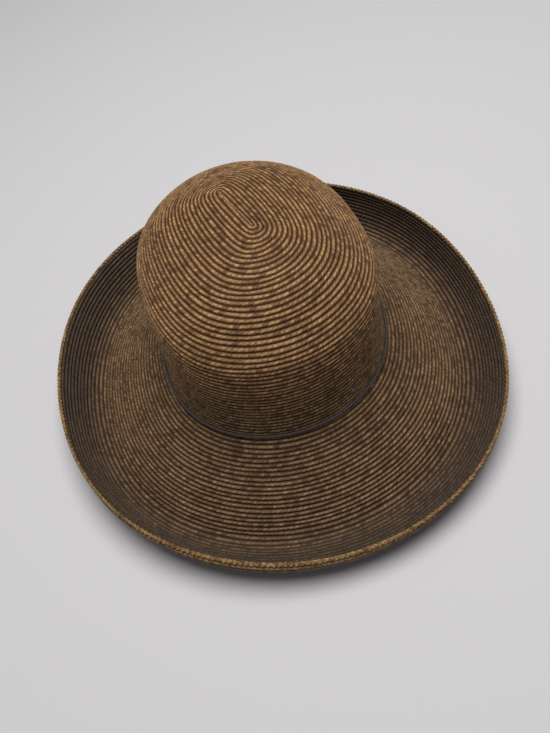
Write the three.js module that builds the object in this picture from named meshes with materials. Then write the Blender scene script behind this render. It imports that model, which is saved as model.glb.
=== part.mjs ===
// Breton hat sewn from one narrow straw braid: a deep round crown, and a wide brim that slopes
// down and then turns up all the way round, and rolls over at the back.
// Millimetres, +Z up. The wearer faces -Y and the wearer's left is +X. The hat rests on z = 0.
//
// Every row of braid is an oval at the same distance outside the row before it. A place on the
// hat is given by how far along the cloth it lies from the start of the coil, and by the
// direction in which the cloth faces there, counted from +X towards +Y.
import * as THREE from 'three';

// Driving dimensions
const ROW_PITCH = 3.27;          // what each sewn row adds to the cloth
const CROWN_ROWS = 48;           // from the start of the coil to the headline
const BRIM_ROWS = 36;            // from the headline to the edge, the edge row included
const WALL = 2;                  // thickness of the sewn braid
const GAP = 0.3;                 // left free between two pieces

const HEAD_HALF_WIDTH = 83.5;    // middle of the hat to the side of the crown, at the headline
const HEAD_STRETCH = 16.8;       // how much further the headline reaches to front and back
const START_STRETCH = 21.5;      // half the length of the straight braid that starts the coil
const START_TURN = 22;           // degrees by which that straight start is turned to the left
const START_LEFT = 1.5;          // where the middle of the start lies, left of the headline's middle
const START_FORWARD = 17.8;      // and forward of it
const STRETCH_EASE = 0.5;        // how quickly an oval passes from its flat side to its round end

const BRIM_DROP = 49;            // headline down to the upper face of the row that is lowest
const REST_HALF_WIDTH = 3;       // half the width of the flat that this row has worn underneath

const EDGE_BRAID_THICKNESS = 3;
const HEADLINE_CORD_DIAMETER = 2;

// How finely the cloth is divided
const COLUMNS = 56;              // round the hat
const CROWN_RINGS = 22;          // from the start to the headline
const BRIM_RINGS_BEFORE_REST = 9;
const BRIM_RINGS_AFTER_REST = 10;
const CORD_SIDES = 6;
const WALK_STEPS = 240;          // for following a slope along the cloth
const GRAIN = 0.01;              // points lie on this grid, so that those that meet are one

// Degrees that the crown's cloth slopes below level, at a share of the way to the headline
const CROWN_SLOPES = [
  { at: 0.00, slope: 2 },
  { at: 0.15, slope: 11 },
  { at: 0.30, slope: 18 },
  { at: 0.40, slope: 33 },
  { at: 0.48, slope: 41 },
  { at: 0.54, slope: 50 },
  { at: 0.60, slope: 84 },
  { at: 0.75, slope: 91 },
  { at: 1.00, slope: 82 },
];

// The same for the brim, at a share of the way to its edge. Past level the slope is negative,
// and past -90 the cloth leans back over the brim. left, back, sides and corner say how much
// steeper it is on the wearer's left, at the back, at both sides, and at the left back corner
// and the one opposite.
const BRIM_SLOPES = [
  { at: 0.00, slope: 60, left: -5, back: 0, sides: -4, corner: 2 },
  { at: 0.10, slope: 34, left: -5, back: -2, sides: -4, corner: 3 },
  { at: 0.30, slope: 38, left: -6, back: -1, sides: -3, corner: 3 },
  { at: 0.45, slope: 38, left: -9, back: 6, sides: -4, corner: 4 },
  { at: 0.60, slope: 31, left: -6, back: 18, sides: 2, corner: 3 },
  { at: 0.68, slope: -22, left: -6, back: 2, sides: 0, corner: -2 },
  { at: 0.76, slope: -50, left: -2, back: 11, sides: -10, corner: -6 },
  { at: 0.88, slope: -58, left: 4, back: 13, sides: -5, corner: -9 },
  { at: 0.94, slope: -68, left: 4, back: 4, sides: 4, corner: -12 },
  { at: 1.00, slope: -92, left: 3, back: -35, sides: 25, corner: -20 },
];

const BRAID = { color: 0x6a4a2b, roughness: 0.75 };
const EDGE = { color: 0x8f6a3a, roughness: 0.7 };
const CORD = { color: 0x6b626a, roughness: 0.85 };

const radians = THREE.MathUtils.degToRad;
const CROWN_LENGTH = CROWN_ROWS * ROW_PITCH;
const BRIM_LENGTH = BRIM_ROWS * ROW_PITCH;

// The value of a named column of a table at a share of the way along it
function column(table, at, name) {
  const next = Math.max(1, table.findIndex((row) => row.at >= at));
  const a = table[next - 1];
  const b = table[next];
  return THREE.MathUtils.mapLinear(at, a.at, b.at, a[name], b[name]);
}

// Follows a slope along the cloth in the upright plane. Returns the places passed: how far
// along, how far out and down, and the slope there in radians.
function walk(length, slopeAt) {
  const step = length / WALK_STEPS;
  const places = [{ along: 0, out: 0, down: 0, slope: slopeAt(0) }];
  for (let i = 1; i <= WALK_STEPS; i += 1) {
    const last = places[i - 1];
    const middle = slopeAt((i - 0.5) / WALK_STEPS);
    places.push({
      along: i * step,
      out: last.out + Math.cos(middle) * step,
      down: last.down + Math.sin(middle) * step,
      slope: slopeAt(i / WALK_STEPS),
    });
  }
  return places;
}

// The place at a distance along such a walk
function placeAt(places, along) {
  const step = places[1].along;
  const i = Math.min(places.length - 2, Math.floor(along / step));
  const share = along / step - i;
  const between = (name) => THREE.MathUtils.lerp(places[i][name], places[i + 1][name], share);
  return { along, out: between('out'), down: between('down'), slope: between('slope') };
}

// A place moved square to the cloth, towards its upper or outer face
function raised(place, height) {
  return {
    ...place,
    out: place.out + height * Math.sin(place.slope),
    down: place.down - height * Math.cos(place.slope),
  };
}

// The point of the oval that lies out from its middle line, where the oval faces a direction.
// start is 1 at the start of the coil and falls to 0 at the headline.
function ovalPoint(out, direction, down, start) {
  const turn = radians(START_TURN) * start;
  const facing = direction + turn;
  const stretch = THREE.MathUtils.lerp(HEAD_STRETCH, START_STRETCH, start);
  const endward = Math.sin(direction);
  const reach = endward * (1 + STRETCH_EASE - STRETCH_EASE * endward ** 2);
  const shift = stretch * Math.sin(reach * Math.PI / 2);
  return new THREE.Vector3(
    out * Math.cos(facing) - shift * Math.sin(turn) + START_LEFT * start ** 2,
    out * Math.sin(facing) + shift * Math.cos(turn) - START_FORWARD * start ** 2,
    -down,
  );
}

const crownWalk = walk(CROWN_LENGTH, (share) => radians(column(CROWN_SLOPES, share, 'slope')));
const crownFoot = crownWalk[WALK_STEPS];

function crownPoint(along, direction, height) {
  const place = raised(placeAt(crownWalk, along), height);
  const widen = HEAD_HALF_WIDTH / crownFoot.out;
  const out = Math.max(0, place.out * widen);
  return ovalPoint(out, direction, place.down - crownFoot.down, 1 - along / CROWN_LENGTH);
}

// The brim's walk in one direction. Its drop is brought to BRIM_DROP, so that the lowest row
// lies in one level plane all the way round.
function brimWalk(direction) {
  const places = walk(BRIM_LENGTH, (share) => radians(
    column(BRIM_SLOPES, share, 'slope')
    + column(BRIM_SLOPES, share, 'left') * Math.cos(direction)
    + column(BRIM_SLOPES, share, 'back') * Math.sin(direction)
    + column(BRIM_SLOPES, share, 'sides') * Math.cos(2 * direction)
    + column(BRIM_SLOPES, share, 'corner') * Math.sin(2 * direction),
  ));
  const lowest = places.reduce((low, place) => (place.down > low.down ? place : low));
  const levelled = places.map((place) => {
    const before = place.along <= lowest.along;
    const down = before
      ? place.down * BRIM_DROP / lowest.down
      : place.down - lowest.down + BRIM_DROP;
    return { ...place, down };
  });
  return { places: levelled, lowest: lowest.along };
}

const directions = Array.from({ length: COLUMNS }, (_, i) => i * 2 * Math.PI / COLUMNS);
const brimWalks = directions.map(brimWalk);

function brimPoint(place, direction) {
  return ovalPoint(HEAD_HALF_WIDTH + place.out, direction, place.down + GAP, 0);
}

// Closed rings of points joined one to the next by two triangles to a square, with their faces
// to the left of the way that the rings run. Triangles with no area are left out. closed joins
// the last ring to the first.
function joinRings(rings, closed) {
  const points = rings.flat().map(
    (point) => point.divideScalar(GRAIN).round().multiplyScalar(GRAIN),
  );
  const same = (a, b) => points[a].equals(points[b]);
  const indices = [];
  const add = (a, b, c) => {
    if (!same(a, b) && !same(b, c) && !same(c, a)) indices.push(a, b, c);
  };
  const last = closed ? rings.length : rings.length - 1;
  for (let r = 0; r < last; r += 1) {
    const next = (r + 1) % rings.length;
    for (let i = 0; i < COLUMNS; i += 1) {
      const j = (i + 1) % COLUMNS;
      const [a, b] = [r * COLUMNS + i, r * COLUMNS + j];
      const [c, d] = [next * COLUMNS + i, next * COLUMNS + j];
      add(a, c, d);
      add(a, d, b);
    }
  }
  const positions = points.flatMap((point) => point.toArray());
  const geometry = new THREE.BufferGeometry();
  geometry.setAttribute('position', new THREE.Float32BufferAttribute(positions, 3));
  geometry.setIndex(indices);
  geometry.computeVertexNormals();
  return geometry;
}

function makeMesh(name, geometry, finish) {
  const material = new THREE.MeshStandardMaterial({ ...finish, metalness: 0 });
  const mesh = new THREE.Mesh(geometry, material);
  mesh.name = name;
  return mesh;
}

// The crown is open underneath: its outer face runs from the start of the coil down to the
// headline, and its inner face runs back up.
function makeCrown() {
  const alongs = Array.from({ length: CROWN_RINGS + 1 }, (_, i) => CROWN_LENGTH * i / CROWN_RINGS);
  const face = (height) => alongs.map(
    (along) => directions.map((direction) => crownPoint(along, direction, height)),
  );
  const rings = [...face(0), ...face(-WALL).reverse()];
  return makeMesh('crown', joinRings(rings, false), BRAID);
}

// The brim leaves its last row to the edge braid. The row that the hat rests on is flat
// underneath, in the plane z = 0.
function makeBrim() {
  const end = BRIM_LENGTH - ROW_PITCH;
  const sections = brimWalks.map(({ places, lowest }) => {
    const restStart = lowest - REST_HALF_WIDTH;
    const restEnd = lowest + REST_HALF_WIDTH;
    const alongs = [];
    for (let i = 0; i <= BRIM_RINGS_BEFORE_REST; i += 1) {
      alongs.push(restStart * i / BRIM_RINGS_BEFORE_REST);
    }
    for (let i = 0; i <= BRIM_RINGS_AFTER_REST; i += 1) {
      alongs.push(THREE.MathUtils.lerp(restEnd, end, i / BRIM_RINGS_AFTER_REST));
    }
    const upper = alongs.map((along) => placeAt(places, along));
    const lower = upper.map((place) => {
      const under = raised(place, -WALL);
      const rests = place.along === restStart || place.along === restEnd;
      return rests ? { ...under, down: BRIM_DROP + WALL } : under;
    });
    return [...upper, ...lower.reverse()];
  });
  const rings = sections[0].map((_, ring) => directions.map(
    (direction, i) => brimPoint(sections[i][ring], direction),
  ));
  return makeMesh('brim', joinRings(rings, true), BRAID);
}

// A closed round of cord or braid. centreAt gives the place of its middle in one direction,
// and the section is an oval that is wide along the cloth and high square to it.
function makeRound(name, centreAt, width, height, finish) {
  const centres = directions.map((direction, i) => centreAt(direction, i));
  const rings = Array.from({ length: CORD_SIDES }, (_, side) => {
    const angle = -side * 2 * Math.PI / CORD_SIDES;
    const lengthwise = width / 2 * Math.cos(angle);
    const upward = height / 2 * Math.sin(angle);
    return directions.map((direction, i) => {
      const middle = centres[i];
      const shifted = {
        ...middle,
        out: middle.out + lengthwise * Math.cos(middle.slope),
        down: middle.down + lengthwise * Math.sin(middle.slope),
      };
      return brimPoint(raised(shifted, upward), direction);
    });
  });
  return makeMesh(name, joinRings(rings, true), finish);
}

// The last row is a folded braid, thicker than the cloth, that stands on the brim's end.
function makeEdgeBraid() {
  const width = ROW_PITCH - GAP;
  const centreAt = (_, i) => {
    const place = placeAt(brimWalks[i].places, BRIM_LENGTH - width / 2);
    return raised(place, -WALL / 2);
  };
  return makeRound('edge_braid', centreAt, width, EDGE_BRAID_THICKNESS, EDGE);
}

// The cord lies in the groove between the foot of the crown and the first row of the brim.
function makeHeadlineCord() {
  const radius = HEADLINE_CORD_DIAMETER / 2;
  const clear = radius + GAP;
  const centreAt = (_, i) => {
    const slope = brimWalks[i].places[0].slope;
    const out = clear;
    const down = -(clear - clear * Math.sin(slope)) / Math.cos(slope);
    return { out, down, slope };
  };
  const size = HEADLINE_CORD_DIAMETER;
  return makeRound('headline_cord', centreAt, size, size, CORD);
}

const hat = new THREE.Group();
hat.add(makeCrown(), makeHeadlineCord(), makeBrim(), makeEdgeBraid());

// The hat stands over the origin by the middle of its outline, with its lowest row on z = 0.
const bounds = new THREE.Box3().setFromObject(hat);
const middle = bounds.getCenter(new THREE.Vector3());
hat.position.set(-middle.x, -middle.y, BRIM_DROP + WALL + GAP);

const part = new THREE.Group();
part.add(hat);

export default part;
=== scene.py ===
"""Looks of the breton hat: sewn straw braid round a deep crown and a wide upturned brim.

Metres, +Z up. The wearer faces -Y and the wearer's left is +X. The hat rests on z = 0.
"""

import math

import bpy
import numpy as np
from mathutils import Matrix, Vector


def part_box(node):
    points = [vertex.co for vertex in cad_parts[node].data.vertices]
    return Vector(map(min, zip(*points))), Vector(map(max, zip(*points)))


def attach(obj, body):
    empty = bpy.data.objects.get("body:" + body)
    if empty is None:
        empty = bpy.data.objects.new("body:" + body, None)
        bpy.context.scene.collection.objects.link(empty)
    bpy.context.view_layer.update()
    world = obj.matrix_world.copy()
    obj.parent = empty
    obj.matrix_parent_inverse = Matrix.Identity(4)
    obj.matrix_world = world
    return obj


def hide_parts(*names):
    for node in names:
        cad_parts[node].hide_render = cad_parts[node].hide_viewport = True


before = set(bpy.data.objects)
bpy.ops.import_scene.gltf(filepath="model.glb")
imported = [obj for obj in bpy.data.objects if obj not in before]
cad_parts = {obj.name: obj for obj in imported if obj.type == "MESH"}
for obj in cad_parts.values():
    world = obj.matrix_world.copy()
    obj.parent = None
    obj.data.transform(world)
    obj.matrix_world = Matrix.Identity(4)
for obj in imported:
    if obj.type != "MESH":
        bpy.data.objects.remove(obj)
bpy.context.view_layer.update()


# Camera. It looks steeply down on the hat's back and is held a little askew. It aims at a place
# behind the middle of the headline cord.
SENSOR_WIDTH = 36.0
LENS = 37.0
NEAREST_SEEN = 0.02
AIM_FROM_HEADLINE = Vector((0.0040, 0.0426, 0.0))
CAMERA_DISTANCE = 0.5465
CAMERA_AZIMUTH = math.radians(182.8)
CAMERA_ELEVATION = math.radians(52.7)
CAMERA_ROLL = math.radians(-17.0)

camera_data = bpy.data.cameras.new("camera")
camera_data.sensor_width = SENSOR_WIDTH
camera_data.lens = LENS
camera_data.clip_start = NEAREST_SEEN
camera = bpy.data.objects.new("camera", camera_data)
bpy.context.collection.objects.link(camera)
bpy.context.scene.camera = camera

headline_low, headline_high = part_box("headline_cord")
camera_aim = (headline_low + headline_high) / 2 + AIM_FROM_HEADLINE
away = Vector((
    math.sin(CAMERA_AZIMUTH) * math.cos(CAMERA_ELEVATION),
    -math.cos(CAMERA_AZIMUTH) * math.cos(CAMERA_ELEVATION),
    math.sin(CAMERA_ELEVATION),
))
level_right = Vector((0, 0, 1)).cross(away).normalized()
level_up = away.cross(level_right)
right = level_right * math.cos(CAMERA_ROLL) + level_up * math.sin(CAMERA_ROLL)
turned = Matrix((right, away.cross(right), away)).transposed()
camera.matrix_world = Matrix.Translation(camera_aim + away * CAMERA_DISTANCE) @ turned.to_4x4()


# Floor. A plain pale board, much wider than the view, with nothing on it but the hat.
FLOOR_SIZE = 12.0
FLOOR_COLOUR = "c9c7c8"
FLOOR_ROUGHNESS = 0.9
FLOOR_GLOSS = 0.2


def linear(hex_colour):
    """An sRGB hex colour as linear red, green, blue and alpha."""
    srgb = np.array([int(hex_colour[i:i + 2], 16) / 255 for i in (0, 2, 4)])
    light = np.where(srgb <= 0.04045, srgb / 12.92, ((srgb + 0.055) / 1.055) ** 2.4)
    return (*light, 1.0)


def add_node(tree, kind, settings=None, inputs=None):
    """Adds a node, gives it its settings, sets or links each input, and returns its outputs."""
    node = tree.nodes.new("ShaderNode" + kind)
    for name, value in (settings or {}).items():
        setattr(node, name, value)
    for name, value in (inputs or {}).items():
        if isinstance(value, bpy.types.NodeSocket):
            tree.links.new(value, node.inputs[name])
        else:
            node.inputs[name].default_value = value
    return node.outputs


def new_material(name):
    """An empty node material: the material, its tree and its Principled shader."""
    material = bpy.data.materials.new(name)
    material.use_nodes = True
    return material, material.node_tree, material.node_tree.nodes["Principled BSDF"]


def painted_board():
    """Matt white board: it gives the eye an even pale ground with no gloss."""
    material, _, shader = new_material("painted_board")
    shader.inputs["Base Color"].default_value = linear(FLOOR_COLOUR)
    shader.inputs["Roughness"].default_value = FLOOR_ROUGHNESS
    shader.inputs["Specular IOR Level"].default_value = FLOOR_GLOSS
    return material


half = FLOOR_SIZE / 2
floor_mesh = bpy.data.meshes.new("floor")
floor_mesh.from_pydata(
    [(-half, -half, 0), (half, -half, 0), (half, half, 0), (-half, half, 0)], [], [(0, 1, 2, 3)])
floor_mesh.materials.append(painted_board())
floor = bpy.data.objects.new("floor", floor_mesh)
bpy.context.collection.objects.link(floor)


# Light. One wide soft lamp hangs over the hat, and the pale room fills the rest.
LAMP_PLACE = Vector((-0.1, -0.1, 1.6))
LAMP_SIZE = 1.3
LAMP_WATTS = 30.0
ROOM_COLOUR = "e6e8ee"
ROOM_STRENGTH = 0.17

lamp_data = bpy.data.lights.new("lamp", "AREA")
lamp_data.shape = "DISK"
lamp_data.size = LAMP_SIZE
lamp_data.energy = LAMP_WATTS
lamp = bpy.data.objects.new("lamp", lamp_data)
lamp.matrix_world = Matrix.LocRotScale(
    LAMP_PLACE, (LAMP_PLACE - camera_aim).to_track_quat("Z", "Y"), None)
bpy.context.collection.objects.link(lamp)

world = bpy.data.worlds.new("room")
world.use_nodes = True
sky = world.node_tree.nodes["Background"]
sky.inputs["Color"].default_value = linear(ROOM_COLOUR)
sky.inputs["Strength"].default_value = ROOM_STRENGTH
bpy.context.scene.world = world
bpy.context.scene.view_settings.view_transform = "Standard"


# Crown. One narrow braid of plaited straw, wound into a deep round cap. It starts as a short
# straight length, each row laps the one before, and a hidden thread sews them together.
MM = 0.001
ROW_PITCH = 3.27 * MM
CROWN_ROWS = 48
WALL = 2 * MM
GAP = 0.3 * MM
BRIM_DROP = 49 * MM
COLUMNS = 240
WALK_STEPS = 480

# The headline is an oval, two half circles moved apart by a stretch. At the start of the coil
# the stretch is longer, turned, and off the middle to the left and forward.
HEADLINE_HALF_WIDTH = 83.5 * MM
HEADLINE_STRETCH = 16.8 * MM
START_STRETCH = 21.5 * MM
START_TURN = math.radians(22)
START_LEFT = 1.5 * MM
START_FORWARD = 17.8 * MM
STRETCH_EASE = 0.5

# Degrees that the crown slopes below level, at a share of the way from its start to the headline
CROWN_AT = [0.00, 0.15, 0.30, 0.40, 0.48, 0.54, 0.60, 0.75, 1.00]
CROWN_SLOPE = [2, 11, 18, 33, 41, 50, 84, 91, 82]

# How far round the rows bulge: the shares of a row's width at which it is modelled, with the
# groove where two rows meet deeper than the wall's face, and the crest over it.
ROW_FACE = np.array([0.0, 0.09, 0.28, 0.5, 0.72, 0.91])
ROW_BACK = np.array([0.0, 0.5])
ROW_ROUNDNESS = 2.2
GROOVE_DEPTH = 0.75 * MM
CREST_HEIGHT = 0.35 * MM

# How a row strays as it is fed under the needle, in slow waves: how many go round the hat, their
# size in rows, and how far each moves on from one row to the next, in radians
DRIFT = {"waves": [3, 5, 9], "size": [0.05, 0.04, 0.03], "moves_on": [0.9, -1.7, 2.3]}

# Points closer than this are made one, where the braid starts and where its faces meet
MEET = 0.02 * MM

headline_middle = (np.array(headline_low) + np.array(headline_high)) / 2
hat_place = np.array([*headline_middle[:2], BRIM_DROP + WALL + GAP])


def walk(length, slopes_at):
    """Follows a slope along the cloth: out grows by its cosine and down by its sine in every
    short step, with the slope taken in the step's middle. One column for each direction."""
    middles = slopes_at((np.arange(WALK_STEPS) + 0.5) / WALK_STEPS)
    step = length / WALK_STEPS
    start = np.zeros((1, middles.shape[1]))
    out = np.vstack([start, np.cumsum(np.cos(middles), axis=0) * step])
    down = np.vstack([start, np.cumsum(np.sin(middles), axis=0) * step])
    slope = slopes_at(np.arange(WALK_STEPS + 1) / WALK_STEPS)
    return {"length": length, "out": out, "down": down, "slope": slope}


def place_at(path, along):
    """Out, down and slope at distances along a walk, read between its two nearest steps."""
    position = np.clip(along / path["length"], 0, 1) * WALK_STEPS
    step = np.minimum(position.astype(int), WALK_STEPS - 1)
    share = position - step
    column = np.arange(along.shape[-1]) % path["out"].shape[1]
    return [path[name][step, column] * (1 - share) + path[name][step + 1, column] * share
            for name in ("out", "down", "slope")]


def oval_points(out, direction, down, start):
    """A circle of radius out, whose two halves are moved apart by a stretch that eases from one
    side to the other, and turned and moved by the share that start gives."""
    turn = START_TURN * start
    stretch = HEADLINE_STRETCH + (START_STRETCH - HEADLINE_STRETCH) * start
    endward = np.sin(direction)
    reach = endward * (1 + STRETCH_EASE - STRETCH_EASE * endward ** 2)
    shift = stretch * np.sin(reach * math.pi / 2)
    x = out * np.cos(direction + turn) - shift * np.sin(turn) + START_LEFT * start ** 2
    y = out * np.sin(direction + turn) + shift * np.cos(turn) - START_FORWARD * start ** 2
    return np.stack([x, y, -down], axis=-1) + hat_place


def crown_slopes(share):
    """The crown's slope at a share of the way to the headline, alike in every direction."""
    return np.radians(np.interp(share, CROWN_AT, CROWN_SLOPE))[:, None]


crown_length = CROWN_ROWS * ROW_PITCH
crown_walk = walk(crown_length, crown_slopes)
crown_widen = HEADLINE_HALF_WIDTH / crown_walk["out"][-1, 0]
crown_foot = crown_walk["down"][-1, 0]


def crown_points(along, direction, height):
    """The crown's wall, moved square to itself by height."""
    out, down, slope = place_at(crown_walk, along)
    out = np.maximum(0, (out + height * np.sin(slope)) * crown_widen)
    down = down - height * np.cos(slope) - crown_foot
    return oval_points(out, direction, down, 1 - along / crown_length)


def row_height(across):
    """How far a row stands over the wall's face: a round back, as a power of the distance from
    the row's middle."""
    from_middle = np.abs(2 * across - 1)
    return CREST_HEIGHT - (CREST_HEIGHT + GROOVE_DEPTH) * from_middle ** ROW_ROUNDNESS


def hand_drift(row, direction):
    """How far, in rows, a row strays from its even place: the sum of the sines in DRIFT."""
    return sum(size * np.sin(waves * direction + moves_on * row)
               for waves, size, moves_on in zip(*DRIFT.values()))


def braid_walked(rows, surface):
    """Millimetres of braid that come before each column of each row: the sum of the short
    steps along the braid's middle, as the surface carries it, with one more step at the end."""
    angle = np.arange(COLUMNS) / COLUMNS
    row = np.clip(np.arange(rows + 1)[:, None] - 0.5 + angle, 0, rows)
    direction = np.broadcast_to(angle * 2 * math.pi, row.shape)
    line = surface(row * ROW_PITCH, direction, 0.0).reshape(-1, 3)
    steps = np.linalg.norm(np.diff(line, axis=0), axis=1)
    walked = np.concatenate([[0], np.cumsum(steps)]) / MM
    return np.append(walked, 2 * walked[-1] - walked[-2])


def coil_grid(rows, across, surface, back, first_row=0):
    """A coil of rows as a grid that climbs by one row in each turn, so that one braid runs
    through it from its start to its end. surface gives a point from how far along the cloth it
    lies, its direction and its height; back turns heights and faces round for the inner face.
    first_row counts the rows that come before. Returns the points and, for each square, its
    four corners and their places: millimetres along the braid, the share of the way across it,
    the row's number from the start of the hat, and 0 on the outer and 1 on the inner face."""
    steps = len(across)
    lines = np.arange((rows + 1) * steps + 1)
    angle = np.arange(COLUMNS) / COLUMNS
    on_row = across[lines % steps]
    row = (on_row + lines // steps - 1)[:, None] + angle
    row = row + hand_drift(row, angle * 2 * math.pi)
    inside = (row > 0) & (row < rows)
    height = row_height(np.where(inside, on_row[:, None], 0.0))
    height = -WALL - height if back else height
    direction = np.broadcast_to(angle * 2 * math.pi, row.shape)
    points = surface(np.clip(row, 0, rows) * ROW_PITCH, direction, height)

    def corner(line, column):
        """A point's number in the grid. Past the last column the coil has climbed by a row."""
        climbed = steps * (column == COLUMNS)
        return np.minimum(line + climbed, lines[-1]) * COLUMNS + column % COLUMNS

    line, column = np.meshgrid(lines[:-1], np.arange(COLUMNS), indexing="ij")
    line, column = line.ravel(), column.ravel()
    faces = np.stack([corner(line, column), corner(line + 1, column),
                      corner(line + 1, column + 1), corner(line, column + 1)], axis=1)

    row, step = line // steps, line % steps
    walked = braid_walked(rows, surface)
    before, after = walked[row * COLUMNS + column], walked[row * COLUMNS + column + 1]
    near, far = across[step], np.append(across[1:], 1.0)[step]
    number = first_row + row + column / COLUMNS
    face = np.full(len(row), float(back))
    places = np.stack([np.stack([along, share, number, face], axis=1) for along, share in
                       ((before, near), (before, far), (after, far), (after, near))], axis=1)
    if back:
        faces, places = faces[:, ::-1], places[:, ::-1]
    return points.reshape(-1, 3), faces, places


def join_lines(upper, lower):
    """Squares between two closed lines of points, on a wall's cut edge."""
    column = np.arange(COLUMNS)
    beside = (column + 1) % COLUMNS
    faces = np.stack([column, column + COLUMNS, beside + COLUMNS, beside], axis=1)
    return np.concatenate([upper, lower]), faces, np.zeros((COLUMNS, 4, 4))


def new_piece(name, parts, material, meet=MEET):
    """One mesh from several grids of points, faces and places. Points that meet are made one,
    and faces that this closes up are left out. The places go into two maps: braid holds where a
    corner lies along and across the braid, and coil its row and which face it is on."""
    starts = np.cumsum([0] + [len(points) for points, _, _ in parts[:-1]])
    points = np.concatenate([points for points, _, _ in parts])
    faces = np.concatenate([faces + start for start, (_, faces, _) in zip(starts, parts)])
    places = np.concatenate([places for _, _, places in parts])
    keys = np.round(points / meet).astype(np.int64)
    _, first, which = np.unique(keys, axis=0, return_index=True, return_inverse=True)
    points, faces = points[first], which.ravel()[faces]
    apart = faces != np.roll(faces, 1, axis=1)
    kept = apart.sum(axis=1) >= 3
    faces, places, apart = faces[kept], places[kept], apart[kept]
    sides = apart.sum(axis=1)
    mesh = bpy.data.meshes.new(name)
    mesh.vertices.add(len(points))
    mesh.vertices.foreach_set("co", points.ravel())
    mesh.loops.add(int(sides.sum()))
    mesh.loops.foreach_set("vertex_index", faces[apart])
    mesh.polygons.add(len(faces))
    mesh.polygons.foreach_set("loop_start", np.concatenate([[0], np.cumsum(sides)[:-1]]))
    mesh.update(calc_edges=True)
    braid_map = mesh.uv_layers.new(name="braid")
    braid_map.uv.foreach_set("vector", places[apart][:, :2].ravel())
    coil_map = mesh.uv_layers.new(name="coil")
    coil_map.uv.foreach_set("vector", places[apart][:, 2:].ravel())
    mesh.shade_smooth()
    mesh.materials.append(material)
    piece = bpy.data.objects.new(name, mesh)
    bpy.context.collection.objects.link(piece)
    return piece


# The plait's pattern. A lap is 3.7 mm long, and half a lap further on at one side of the row
# than at the other. Edges are shares of a row's width and of a lap's length.
PLAIT_LENGTH = 3.7
PLAIT_SLANT = 0.5
GROOVE_EDGE = 0.03
CREST_EDGE = 0.4
LAP_EDGE = 0.25
# At a lap's ends, where the next lap covers it, only this share of the straw's colour shows; the
# rest is painted shade
LAP_END_UNSHADED = 0.75

# The straw's tone runs from 0, dark, to 1, pale. Each pattern adds its share: every lap has its
# own, a run of one bundle of straw lasts about 11 mm, a patch of the hat is about 22 mm across,
# and a streak of fibres about 2 mm long, which is coarser than the real one so that it shows.
LAP_TONE = 0.26
RUN_TONE = 0.35
PATCH_TONE = 0.3
FIBRE_TONE = 0.75
RUNS_PER_MM = 0.09
PATCHES_PER_METRE = 45.0
FIBRES_PER_MM = 0.45
FIBRES_PER_ROW = 2.2
NOISE_DETAIL = 2.0
PATCH_DETAIL = 3.0

# Painted light on the crown's top rows grows from the first row number to the second, and so does
# painted shade on the rim's upper face
PAINTED_LIGHT_ROWS = (46.0, 30.0)
PLAIN_TONE = -0.34
PAINTED_LIGHT_TONE = -0.18
PAINTED_LIGHT_GOLD = (1.0, 0.88, 0.7, 1.0)
RIM_SHADE_ROWS = (66.0, 78.0)
RIM_SHADE_AMOUNT = 0.75
RIM_SHADE_COLOUR = "2a231d"

# About one lap in eight is dyed, and shows its dye by half
BRAID_SHADES = [(0.05, "3d2a19"), (0.35, "654e37"), (0.65, "8c7153"), (0.95, "bc9c74")]
# The groove's colour is painted shade between the rows
BRAID_GROOVE_SHADE = "42280c"
DYED_STRAW = "47332b"
DYED_LAPS = (0.14, 0.1)
DYE_SHOWN = 0.5

STRAW_RELIEF = 0.35 * MM
FIBRE_RELIEF = 0.3
GROOVE_ROUGHNESS = 0.85
STRAW_ROUGHNESS = 0.58
STRAW_IOR = 1.45
STRAW_GLOSS = 0.3


def braid_maps(tree):
    """The numbers that new_piece puts into a piece's two maps, by name."""
    braid = add_node(tree, "UVMap", {"uv_map": "braid"})["UV"]
    coil = add_node(tree, "UVMap", {"uv_map": "coil"})["UV"]
    on_braid = add_node(tree, "SeparateXYZ", None, {"Vector": braid})
    in_coil = add_node(tree, "SeparateXYZ", None, {"Vector": coil})
    return {"braid": braid, "along": on_braid["X"], "across": on_braid["Y"],
            "row": in_coil["X"], "inner_face": in_coil["Y"]}


def plaited_laps(tree, at):
    """Laps that follow each other along the braid, slanted across it. Returns each lap's own
    chance, and two smooth steps from 0 to 1: out of the groove, and away from the lap's ends."""
    slant = add_node(tree, "Math", {"operation": "MULTIPLY"}, {0: at["across"], 1: PLAIT_SLANT})[0]
    laps = add_node(tree, "Math", {"operation": "MULTIPLY_ADD"},
                    {0: at["along"], 1: 1 / PLAIT_LENGTH, 2: slant})[0]
    lap = add_node(tree, "Math", {"operation": "FLOOR"}, {0: laps})[0]
    chance = add_node(tree, "TexWhiteNoise", {"noise_dimensions": "1D"}, {"W": lap})["Value"]
    from_groove = add_node(tree, "Math", {"operation": "PINGPONG"}, {0: at["across"], 1: 0.5})[0]
    crest = add_node(tree, "MapRange", {"interpolation_type": "SMOOTHSTEP"},
                     {"Value": from_groove, "From Min": GROOVE_EDGE,
                      "From Max": CREST_EDGE})["Result"]
    from_lap = add_node(tree, "Math", {"operation": "PINGPONG"}, {0: laps, 1: 0.5})[0]
    lap_crest = add_node(tree, "MapRange", {"interpolation_type": "SMOOTHSTEP"},
                         {"Value": from_lap, "From Max": LAP_EDGE})["Result"]
    return chance, crest, lap_crest


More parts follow.
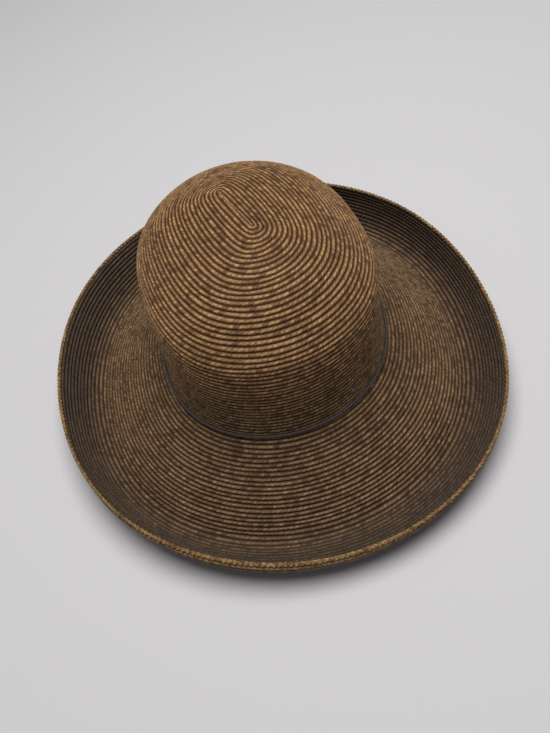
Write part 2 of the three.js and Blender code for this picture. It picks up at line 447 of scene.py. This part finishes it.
def straw_tone(tree, at, chance, painted_light):
    """The straw's tone: the sum of what its lap, its run, its patch of the hat and its fibre
    add, and painted light on the crown's top rows. Returns the tone and the fibre's own
    pattern."""
    run = add_node(tree, "TexNoise", {"noise_dimensions": "1D"},
                   {"W": at["along"], "Scale": RUNS_PER_MM, "Detail": NOISE_DETAIL})["Fac"]
    on_hat = add_node(tree, "TexCoord")["Object"]
    patch = add_node(tree, "TexNoise", None,
                     {"Vector": on_hat, "Scale": PATCHES_PER_METRE, "Detail": PATCH_DETAIL})["Fac"]
    on_fibre = add_node(tree, "Mapping", None, {
        "Vector": at["braid"], "Scale": (FIBRES_PER_MM, FIBRES_PER_ROW, 1.0)})["Vector"]
    fibre = add_node(tree, "TexNoise", {"noise_dimensions": "2D"},
                     {"Vector": on_fibre, "Scale": 1.0, "Detail": NOISE_DETAIL})["Fac"]
    tone = add_node(tree, "MapRange", None, {
        "Value": painted_light, "To Min": PLAIN_TONE, "To Max": PAINTED_LIGHT_TONE})["Result"]
    for pattern, share in ((chance, LAP_TONE), (run, RUN_TONE), (patch, PATCH_TONE),
                           (fibre, FIBRE_TONE)):
        tone = add_node(tree, "Math", {"operation": "MULTIPLY_ADD"},
                        {0: pattern, 1: share, 2: tone})[0]
    return tone, fibre


def set_shades(elements, shades):
    """Gives the elements of a colour ramp their shades, each a position and a colour."""
    for position, colour in shades[1:-1]:
        elements.new(position).color = linear(colour)
    for element, (position, colour) in ((elements[0], shades[0]), (elements[-1], shades[-1])):
        element.position = position
        element.color = linear(colour)


def straw_braid(name, shades, groove):
    """Wheat straw, split, dyed in two tones and plaited. Dry straw has a low gloss along its
    fibres. Every lap of the plait shows one straw, lighter or darker. The groove where rows meet
    is painted deep brown, as painted shade, and so are each lap's ends, a little, where the next
    lap covers them. The crown's top rows are painted lighter and more golden, as painted light,
    and the upper face of the upturned rim is painted darker and greyer, as painted shade."""
    material, tree, shader = new_material(name)
    at = braid_maps(tree)
    chance, crest, lap_crest = plaited_laps(tree, at)
    # Painted light: the crown's top rows are painted lighter and more golden
    painted_light = add_node(tree, "MapRange", {"interpolation_type": "SMOOTHSTEP"},
                      {"Value": at["row"], "From Min": PAINTED_LIGHT_ROWS[0],
                       "From Max": PAINTED_LIGHT_ROWS[1]})["Result"]
    tone, fibre = straw_tone(tree, at, chance, painted_light)
    shaded = add_node(tree, "ValToRGB", None, {"Fac": tone})["Color"]
    set_shades(shaded.node.color_ramp.elements, shades)

    # The colour: the straw and its dye, then painted shade in the groove and at the laps' ends,
    # painted light on the crown's top rows, and painted shade on the rim's upper face
    dyed = add_node(tree, "MapRange", None,
                    {"Value": chance, "From Min": DYED_LAPS[0], "From Max": DYED_LAPS[1],
                     "To Max": DYE_SHOWN})["Result"]
    straw = add_node(tree, "Mix", {"data_type": "RGBA"},
                     {"Factor": dyed, 6: shaded, 7: linear(DYED_STRAW)})[2]
    # Painted shade: the groove colour covers the groove and, in part, each lap's ends
    out_of_lap_shade = add_node(tree, "MapRange", None, {"Value": lap_crest, "To Min": LAP_END_UNSHADED})["Result"]
    out_of_painted_shade = add_node(tree, "Math", {"operation": "MULTIPLY"}, {0: crest, 1: out_of_lap_shade})[0]
    groove_shaded = add_node(tree, "Mix", {"data_type": "RGBA"},
                    {"Factor": out_of_painted_shade, 6: linear(groove), 7: straw})[2]
    # Painted light: a golden tint on the crown's top rows
    with_painted_light = add_node(tree, "Mix", {"data_type": "RGBA", "blend_type": "MULTIPLY"},
                      {"Factor": painted_light, 6: groove_shaded, 7: PAINTED_LIGHT_GOLD})[2]
    # Painted shade: the upper face of the upturned rim is painted darker and greyer
    rim = add_node(tree, "MapRange", {"interpolation_type": "SMOOTHSTEP"},
                   {"Value": at["row"], "From Min": RIM_SHADE_ROWS[0], "From Max": RIM_SHADE_ROWS[1],
                    "To Max": RIM_SHADE_AMOUNT})["Result"]
    outer_face = add_node(tree, "Math", {"operation": "SUBTRACT"}, {0: 1.0, 1: at["inner_face"]})[0]
    painted_rim_shade = add_node(tree, "Math", {"operation": "MULTIPLY"}, {0: rim, 1: outer_face})[0]
    colour = add_node(tree, "Mix", {"data_type": "RGBA"},
                      {"Factor": painted_rim_shade, 6: with_painted_light, 7: linear(RIM_SHADE_COLOUR)})[2]
    tree.links.new(colour, shader.inputs["Base Color"])

    # Straws stand up between their laps and out of the groove, and the groove has no gloss
    lift = add_node(tree, "Math", {"operation": "MULTIPLY"}, {0: lap_crest, 1: crest})[0]
    relief = add_node(tree, "Math", {"operation": "MULTIPLY_ADD"},
                      {0: fibre, 1: FIBRE_RELIEF, 2: lift})[0]
    bump = add_node(tree, "Bump", None, {"Distance": STRAW_RELIEF, "Height": relief})["Normal"]
    tree.links.new(bump, shader.inputs["Normal"])
    gloss = add_node(tree, "MapRange", None, {
        "Value": crest, "To Min": GROOVE_ROUGHNESS, "To Max": STRAW_ROUGHNESS})["Result"]
    tree.links.new(gloss, shader.inputs["Roughness"])
    shader.inputs["IOR"].default_value = STRAW_IOR
    shader.inputs["Specular IOR Level"].default_value = STRAW_GLOSS
    return material


braid_material = straw_braid("straw_braid", BRAID_SHADES, BRAID_GROOVE_SHADE)

crown_face = coil_grid(CROWN_ROWS, ROW_FACE, crown_points, back=False)
crown_back = coil_grid(CROWN_ROWS, ROW_BACK, crown_points, back=True)
crown_edge = join_lines(crown_face[0][-COLUMNS:], crown_back[0][-COLUMNS:])
crown = new_piece("crown_braid", [crown_face, crown_back, crown_edge], braid_material)
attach(crown, "root")
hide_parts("crown")


# Headline cord. A thin cotton cord, twisted from three plies, that lies in the groove between
# the crown and the brim and is caught down by the same thread.
CORD_DIAMETER = 2 * MM
CORD_PLIES = 3
CORD_STEPS = 1500
CORD_SECTION = 18
# From where two plies meet to a ply's middle: the dark end is painted shade in the crease
CORD_COLOUR_AND_CREASE_SHADE = [(0.0, "1d1815"), (0.4, "584e4d")]
CORD_ROUGHNESS = 0.85

# The plies go once round the cord in each lay, and where two of them meet the cord is thinner by
# this share of its radius
CORD_LAY = 7 * MM
PLY_DEPTH = 0.2

# In thin pieces only points that are the same are made one
FINE_MEET = 0.001 * MM

# The cord lies on the start of the brim, so the brim's slopes come here. They are degrees below
# level at a share of the way to its edge. Past level they are negative, and past -90 the cloth
# leans back over the brim. left, back, sides and corner say how much steeper it is on the
# wearer's left, at the back, at both sides, and at the left back corner and the one opposite.
BRIM_ROWS = 36
BRIM_AT = [0.00, 0.10, 0.30, 0.45, 0.60, 0.68, 0.76, 0.88, 0.94, 1.00]
BRIM_SLOPES = {
    "slope": [60, 34, 38, 38, 31, -22, -50, -58, -68, -92],
    "left": [-5, -5, -6, -9, -6, -6, -2, 4, 4, 3],
    "back": [0, -2, -1, 6, 18, 2, 11, 13, 4, -35],
    "sides": [-4, -4, -3, -4, 2, 0, -10, -5, 4, 25],
    "corner": [2, 3, 3, 4, 3, -2, -6, -9, -12, -20],
}


def brim_slopes(share, direction):
    """The brim's slope by share of the way to the edge and by direction: the mean slope, one
    wave round the hat for left and for back, and two for sides and for corner."""
    waves = {
        "slope": 1.0,
        "left": np.cos(direction),
        "back": np.sin(direction),
        "sides": np.cos(2 * direction),
        "corner": np.sin(2 * direction),
    }
    return np.radians(sum(np.interp(share, BRIM_AT, BRIM_SLOPES[name])[:, None] * wave
                          for name, wave in waves.items()))


def brim_walk(direction):
    """The walk from headline to edge in each direction. Its drop is brought to BRIM_DROP, so
    that the lowest row lies in one level plane."""
    path = walk(BRIM_ROWS * ROW_PITCH, lambda share: brim_slopes(share, direction))
    down = path["down"]
    lowest = down.max(axis=0)
    before = np.arange(len(down))[:, None] <= down.argmax(axis=0)
    path["down"] = np.where(before, down * BRIM_DROP / lowest, down - lowest + BRIM_DROP)
    return path


def closed_tube(points, place_on_tube, turns_back=False):
    """The squares of a tube that closes on itself both ways. points holds one line of points
    round the hat for each side of the tube. turns_back says that the sides follow each other
    the other way round, and keeps the squares facing outwards. place_on_tube gives the four
    numbers of a corner's place from its side and its step round the hat."""
    sides, steps = points.shape[:2]
    side, step = np.meshgrid(np.arange(sides), np.arange(steps), indexing="ij")
    to_side, to_step = np.array([0, 0, 1, 1]), np.array([0, 1, 1, 0])
    if turns_back:
        to_side, to_step = to_step, to_side
    side, step = side.reshape(-1, 1) + to_side, step.reshape(-1, 1) + to_step
    faces = side % sides * steps + step % steps
    places = np.stack(np.broadcast_arrays(*place_on_tube(side, step)), axis=-1)
    return points.reshape(-1, 3), faces, places


cord_direction = np.arange(CORD_STEPS) / CORD_STEPS * 2 * math.pi
cord_slope = brim_walk(cord_direction)["slope"][0]
cord_clear = CORD_DIAMETER / 2 + GAP
cord_out = HEADLINE_HALF_WIDTH + cord_clear
cord_up = (cord_clear - cord_clear * np.sin(cord_slope)) / np.cos(cord_slope) - GAP
cord_line = oval_points(cord_out, cord_direction, -cord_up, 0.0)
cord_length = np.linalg.norm(cord_line - np.roll(cord_line, 1, axis=0), axis=1).sum()
cord_turns = round(cord_length / CORD_LAY)


def twisted_cord_points():
    """A round section with a dent where two plies meet, as the cosine of half the plies' angle,
    that turns by a whole turn in each lay of the cord."""
    around = (np.arange(CORD_SECTION) / CORD_SECTION * 2 * math.pi)[:, None]
    ply = np.abs(np.cos(CORD_PLIES / 2 * (around - cord_direction * cord_turns)))
    radius = CORD_DIAMETER / 2 * (1 - PLY_DEPTH + PLY_DEPTH * ply)
    return oval_points(cord_out + radius * np.cos(around), cord_direction,
                       -(cord_up + radius * np.sin(around)), 0.0)


def place_on_cord(side, step):
    """Millimetres along the cord, and turns round it, less those of the twist."""
    share = step / CORD_STEPS
    return share * cord_length / MM, side / CORD_SECTION - share * cord_turns, 0.0, 0.0


def cotton_cord():
    """Mercerised cotton, spun and laid up in three plies: matt and greyed by dust, with painted
    shade darkening it where the plies meet."""
    material, tree, shader = new_material("cotton_cord")
    braid = add_node(tree, "UVMap", {"uv_map": "braid"})["UV"]
    turns = add_node(tree, "SeparateXYZ", None, {"Vector": braid})["Y"]
    plies = add_node(tree, "Math", {"operation": "MULTIPLY"}, {0: turns, 1: float(CORD_PLIES)})[0]
    ply = add_node(tree, "Math", {"operation": "PINGPONG"}, {0: plies, 1: 0.5})[0]
    # Painted shade darkens the cord in the creases where the plies meet
    shaded = add_node(tree, "ValToRGB", None, {"Fac": ply})["Color"]
    set_shades(shaded.node.color_ramp.elements, CORD_COLOUR_AND_CREASE_SHADE)
    tree.links.new(shaded, shader.inputs["Base Color"])
    shader.inputs["Roughness"].default_value = CORD_ROUGHNESS
    return material


cord = new_piece("headline_cord_twist", [closed_tube(twisted_cord_points(), place_on_cord)],
                 cotton_cord(), FINE_MEET)
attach(cord, "root")
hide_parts("headline_cord")


# Brim. The same braid goes on for 35 more rows. Steam and a hand shape it: down from the crown
# to where it rests, up again all the way round, and over at the back.
BRIM_BACK = ROW_FACE[[0, 1, 3, 5]]

brim_path = brim_walk(np.arange(COLUMNS) / COLUMNS * 2 * math.pi)


def brim_points(path, along, direction, height):
    """The brim's upper face, moved square to itself by height. The rows that it rests on are
    worn flat, level with z = 0."""
    out, down, slope = place_at(path, along)
    out = HEADLINE_HALF_WIDTH + out + height * np.sin(slope)
    points = oval_points(out, direction, down - height * np.cos(slope) + GAP, 0.0)
    return np.maximum(points, [-np.inf, -np.inf, 0.0])


def brim_surface(along, direction, height):
    """The brim's points on the columns of the coil."""
    return brim_points(brim_path, along, direction, height)


brim_face = coil_grid(BRIM_ROWS - 1, ROW_FACE, brim_surface, back=False, first_row=CROWN_ROWS)
brim_back = coil_grid(BRIM_ROWS - 1, BRIM_BACK, brim_surface, back=True, first_row=CROWN_ROWS)
brim_start = join_lines(brim_back[0][:COLUMNS], brim_face[0][:COLUMNS])
brim_end = join_lines(brim_face[0][-COLUMNS:], brim_back[0][-COLUMNS:])
brim = new_piece("brim_braid", [brim_face, brim_back, brim_start, brim_end], braid_material)
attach(brim, "root")
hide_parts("brim")


# Edge braid. The last row is a thicker plait of three straws, sewn over the brim's edge, and it
# was woven of lighter straw.
EDGE_STRANDS = 3
EDGE_STEPS = 1700
EDGE_SECTION = 8
EDGE_SHADES = [(0.05, "4a3820"), (0.35, "765a36"), (0.65, "9a784a"), (0.95, "c6a36c")]
# The groove colour is painted shade, though the plait's straws show little of it
EDGE_GROOVE_SHADE = "3a280f"

# In each repeat of the plait a straw sways out and in and rises over the others, and the straws
# bite a little over the brim's cut edge
EDGE_REPEAT = 11 * MM
EDGE_SWAY = 0.58 * MM
EDGE_RISE = 0.42 * MM
EDGE_STRAW_RADIUS = 0.82 * MM
EDGE_BITE = 0.12 * MM

# The part of the braid's pattern that a straw of the plait shows, clear of the groove
EDGE_SHOWS_FROM = 0.3
EDGE_SHOWS = 0.4

edge_direction = np.arange(EDGE_STEPS) / EDGE_STEPS * 2 * math.pi
edge_path = brim_walk(edge_direction)
edge_middle = (BRIM_ROWS - 1) * ROW_PITCH + EDGE_SWAY + EDGE_STRAW_RADIUS - EDGE_BITE


def edge_points(along, height):
    """The brim's surface carried on past its cut edge, by how far along and how high."""
    along = np.broadcast_to(along, height.shape)
    return brim_points(edge_path, along, edge_direction, height)


edge_line = edge_points(edge_middle, np.full((1, EDGE_STEPS), -WALL / 2))[0]
edge_gaps = np.linalg.norm(np.roll(edge_line, -1, axis=0) - edge_line, axis=1)
edge_walked = np.concatenate([[0], np.cumsum(edge_gaps)])
edge_repeats = round(edge_walked[-1] / EDGE_REPEAT)
edge_phase = edge_walked[:-1] / edge_walked[-1] * edge_repeats * 2 * math.pi


def edge_strand(number):
    """One straw of the plait: it sways from side to side once while it rises and dips twice,
    a third of a repeat behind the straw before it."""
    phase = edge_phase + number * 2 * math.pi / EDGE_STRANDS
    sway = EDGE_SWAY * np.sin(phase)
    rise = EDGE_RISE * np.sin(2 * phase)
    around = -np.arange(EDGE_SECTION)[:, None] / EDGE_SECTION * 2 * math.pi
    points = edge_points(edge_middle + sway + EDGE_STRAW_RADIUS * np.cos(around),
                         -WALL / 2 + rise + EDGE_STRAW_RADIUS * np.sin(around))

    def place_on_straw(side, step):
        """Millimetres along the straws, one after the other, and across the pattern. The row is
        the last, and the inner face's 1 keeps the painted shade of the rim's upper face off it."""
        along = (number * edge_walked[-1] + edge_walked[step]) / MM
        across = EDGE_SHOWS_FROM + EDGE_SHOWS * side / EDGE_SECTION
        return along, across, float(CROWN_ROWS + BRIM_ROWS), 1.0

    return closed_tube(points, place_on_straw, turns_back=True)


edge = new_piece("edge_braid_plait", [edge_strand(number) for number in range(EDGE_STRANDS)],
                 straw_braid("edge_straw", EDGE_SHADES, EDGE_GROOVE_SHADE), FINE_MEET)
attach(edge, "root")
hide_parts("edge_braid")
